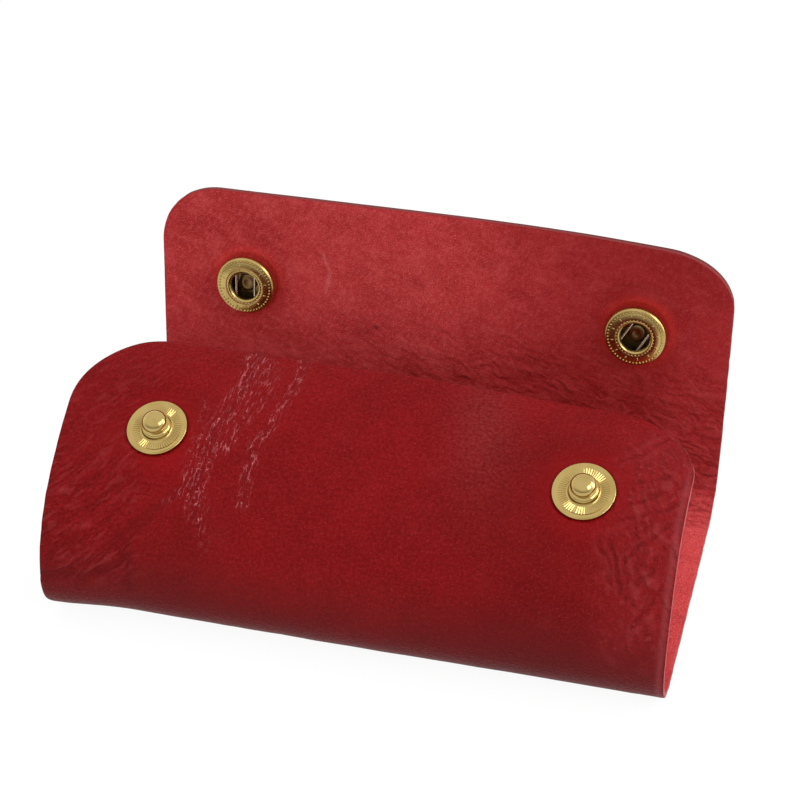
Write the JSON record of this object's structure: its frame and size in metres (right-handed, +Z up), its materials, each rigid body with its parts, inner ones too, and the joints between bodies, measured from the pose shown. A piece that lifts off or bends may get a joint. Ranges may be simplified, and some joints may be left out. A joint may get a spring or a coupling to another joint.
{
  "type": "key case",
  "caption": "Leather key case folded in three, standing open, with snap fasteners on its flaps and sprung key hooks on a bar inside.",
  "frame": {"origin": "middle of the back panel's underside, on the surface that the case lies on", "axes": "+X along the case, +Y to the rear, towards the top flap's fold, +Z up"},
  "size_m": [0.118, 0.0755, 0.0548],
  "materials": {
    "leather": "deep red leather, smooth on the grain side and suede-like on the flesh side",
    "brass": "bright pale brass plate",
    "spring_steel": "bright spring steel"
  },
  "bodies": {
    "back": {"back_panel": "leather", "rear_fold": "leather", "key_plate": "brass", "hook_bar": "brass", "front_rivet": "brass", "rear_rivet": "brass"},
    "front_fold": {"front_fold": "leather"},
    "front_flap": {"front_flap": "leather", "left_stud": "brass", "right_stud": "brass", "left_stud_post": "brass", "right_stud_post": "brass"},
    "top_flap": {"top_flap": "leather", "left_socket": "brass", "right_socket": "brass", "left_socket_spring": "spring_steel", "right_socket_spring": "spring_steel", "left_cap": "brass", "right_cap": "brass"},
    "hook_1": {"key_hook_1": "brass"},
    "tongue_1": {"hook_tongue_1": "spring_steel"},
    "hook_2": {"key_hook_2": "brass"},
    "tongue_2": {"hook_tongue_2": "spring_steel"},
    "hook_3": {"key_hook_3": "brass"},
    "tongue_3": {"hook_tongue_3": "spring_steel"},
    "hook_4": {"key_hook_4": "brass"},
    "tongue_4": {"hook_tongue_4": "spring_steel"}
  },
  "joints": [
    {"name": "top_flap_fold", "type": "hinge", "parent": "back", "child": "top_flap", "pos_m": [0, 0.02753, 0.006], "axis": [1, 0, 0], "range_deg": [-77, 80.11], "stiffness_Nm_per_rad": 0.02, "deforming": ["rear_fold"]},
    {"name": "front_flap_open", "type": "hinge", "parent": "back", "child": "front_fold", "pos_m": [0, -0.03095, 0.00431], "axis": [-1, 0, 0], "range_deg": [-52, 0], "stiffness_Nm_per_rad": 0.02, "deforming": ["front_fold"]},
    {"name": "front_flap_press", "type": "hinge", "parent": "front_fold", "child": "front_flap", "pos_m": [0, -0.02838, 0.01113], "axis": [-1, 0, 0], "range_deg": [-51.89, 53.99], "stiffness_Nm_per_rad": 0.02, "deforming": ["front_fold"]},
    {"name": "hook_swing_1", "type": "hinge", "parent": "back", "child": "hook_1", "pos_m": [-0.046, -0.01737, 0.0037], "axis": [0, 1, 0], "range_deg": [-46, 0]},
    {"name": "tongue_press_1", "type": "hinge", "parent": "hook_1", "child": "tongue_1", "pos_m": [-0.046, -0.01737, 0.0037], "axis": [0, -1, 0], "range_deg": [-8, 0], "stiffness_Nm_per_rad": 0.01},
    {"name": "hook_swing_2", "type": "hinge", "parent": "back", "child": "hook_2", "pos_m": [-0.046, -0.00977, 0.0037], "axis": [0, 1, 0], "range_deg": [-46, 0]},
    {"name": "tongue_press_2", "type": "hinge", "parent": "hook_2", "child": "tongue_2", "pos_m": [-0.046, -0.00977, 0.0037], "axis": [0, -1, 0], "range_deg": [-8, 0], "stiffness_Nm_per_rad": 0.01},
    {"name": "hook_swing_3", "type": "hinge", "parent": "back", "child": "hook_3", "pos_m": [-0.046, -0.00217, 0.0037], "axis": [0, 1, 0], "range_deg": [-46, 0]},
    {"name": "tongue_press_3", "type": "hinge", "parent": "hook_3", "child": "tongue_3", "pos_m": [-0.046, -0.00217, 0.0037], "axis": [0, -1, 0], "range_deg": [-8, 0], "stiffness_Nm_per_rad": 0.01},
    {"name": "hook_swing_4", "type": "hinge", "parent": "back", "child": "hook_4", "pos_m": [-0.046, 0.00543, 0.0037], "axis": [0, 1, 0], "range_deg": [-46, 0]},
    {"name": "tongue_press_4", "type": "hinge", "parent": "hook_4", "child": "tongue_4", "pos_m": [-0.046, 0.00543, 0.0037], "axis": [0, -1, 0], "range_deg": [-8, 0], "stiffness_Nm_per_rad": 0.01}
  ],
  "couplings": [
    {"joint": "front_flap_press", "follows": "top_flap_fold", "ratio": 0.67261}
  ]
}
